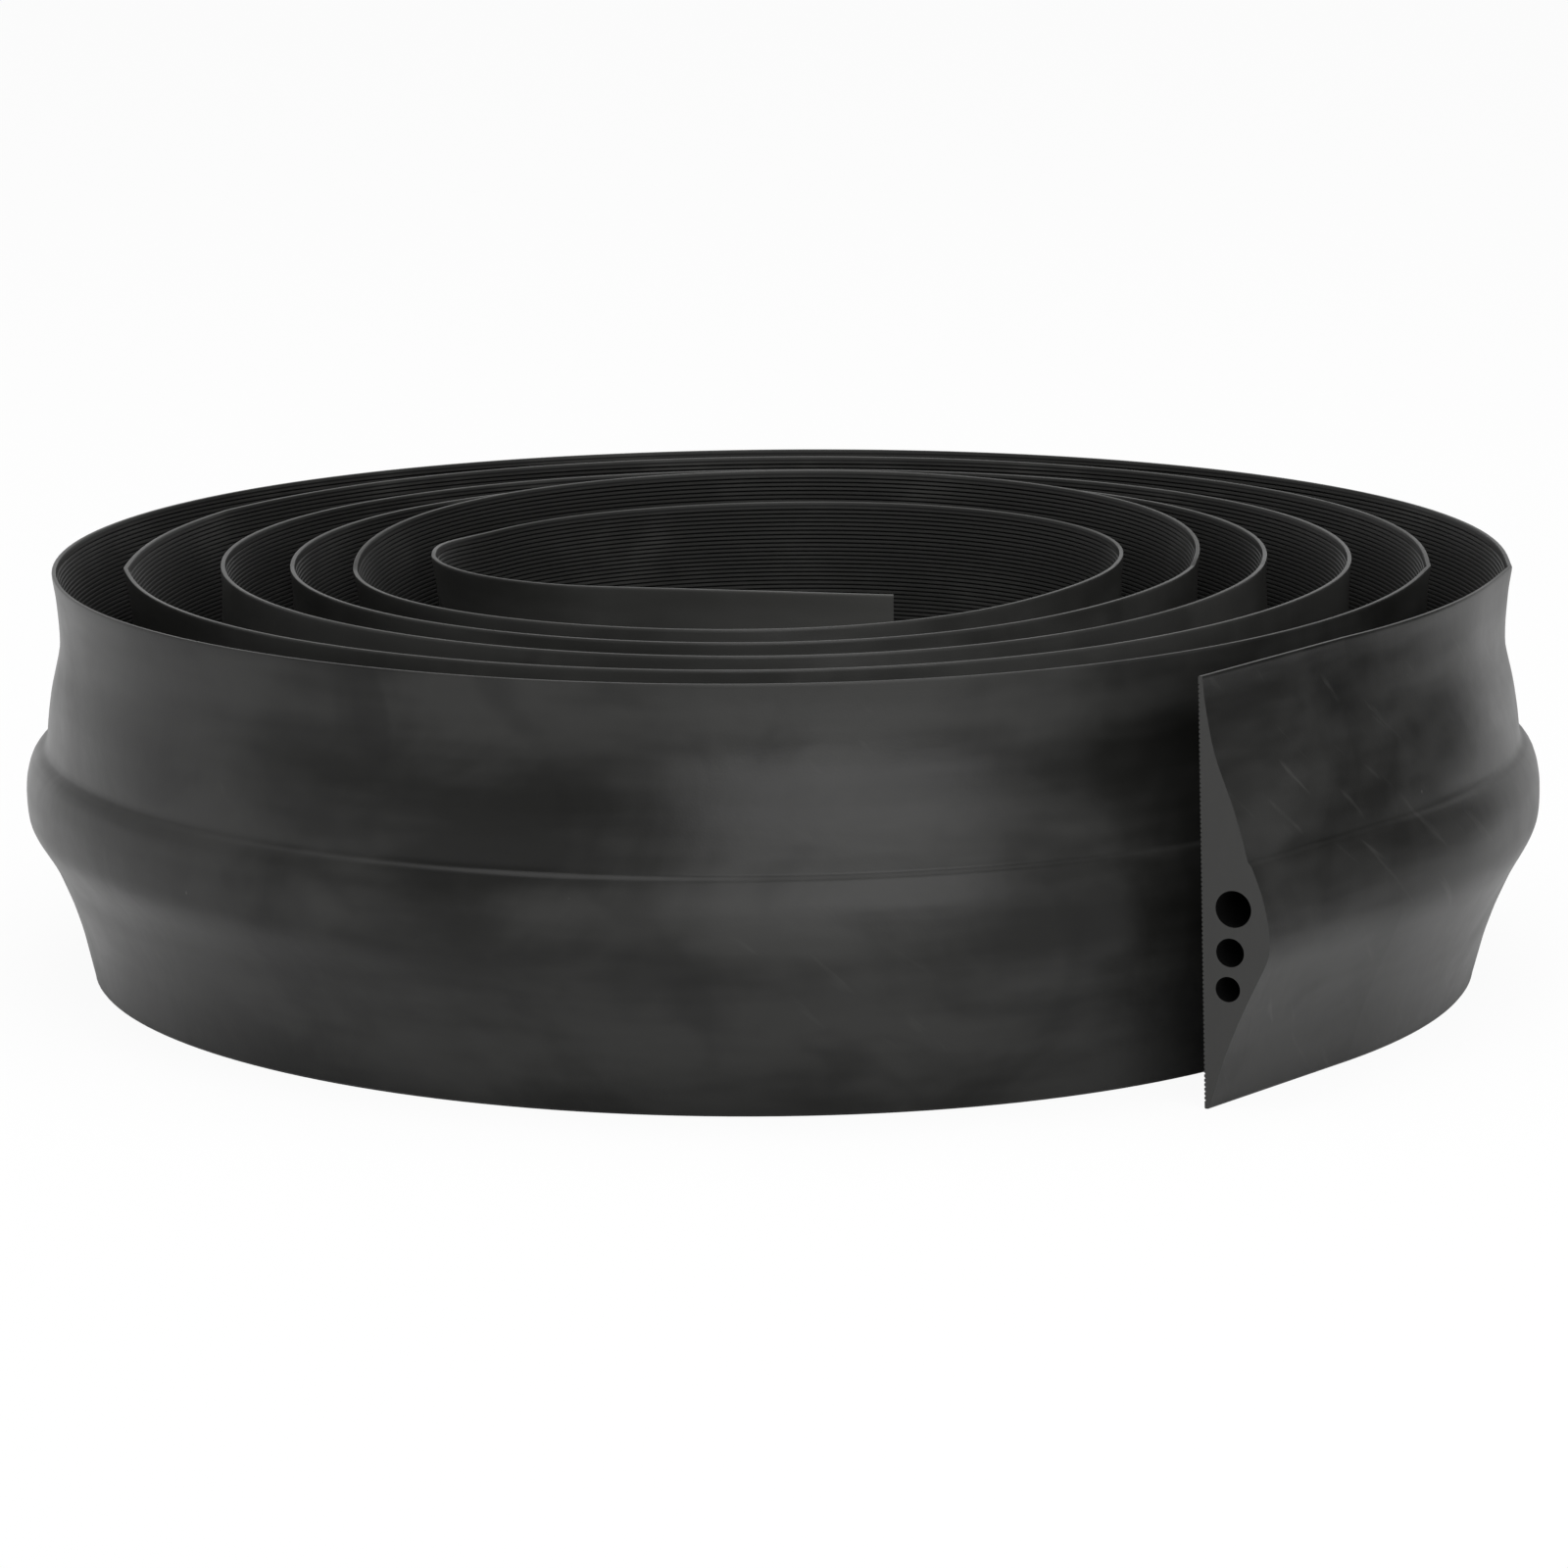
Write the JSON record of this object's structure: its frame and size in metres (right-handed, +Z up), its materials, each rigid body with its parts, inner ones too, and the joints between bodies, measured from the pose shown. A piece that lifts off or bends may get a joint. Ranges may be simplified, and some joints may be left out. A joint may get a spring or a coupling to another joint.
{
  "type": "rubber threshold ramp strip",
  "caption": "Black rubber threshold ramp strip rolled up on its edge, with a low rounded ramp outside, a finely ribbed flat back inside and round hollow bores at the cut end.",
  "frame": {"origin": "centre of the roll's box, on the floor it stands on", "axes": "+Z up across the strip's width, +Y away from the viewer of the picture, +X to the viewer's right; the cut free end is at the front right"},
  "size_m": [0.5476, 0.5638, 0.1595],
  "materials": {
    "strip_rubber": "satin"
  },
  "bodies": {
    "root": {"free_end": "strip_rubber", "turn_1": "strip_rubber", "turn_2": "strip_rubber", "turn_3": "strip_rubber", "turn_4": "strip_rubber", "turn_5": "strip_rubber", "turn_6": "strip_rubber", "inner_end": "strip_rubber"}
  },
  "joints": []
}
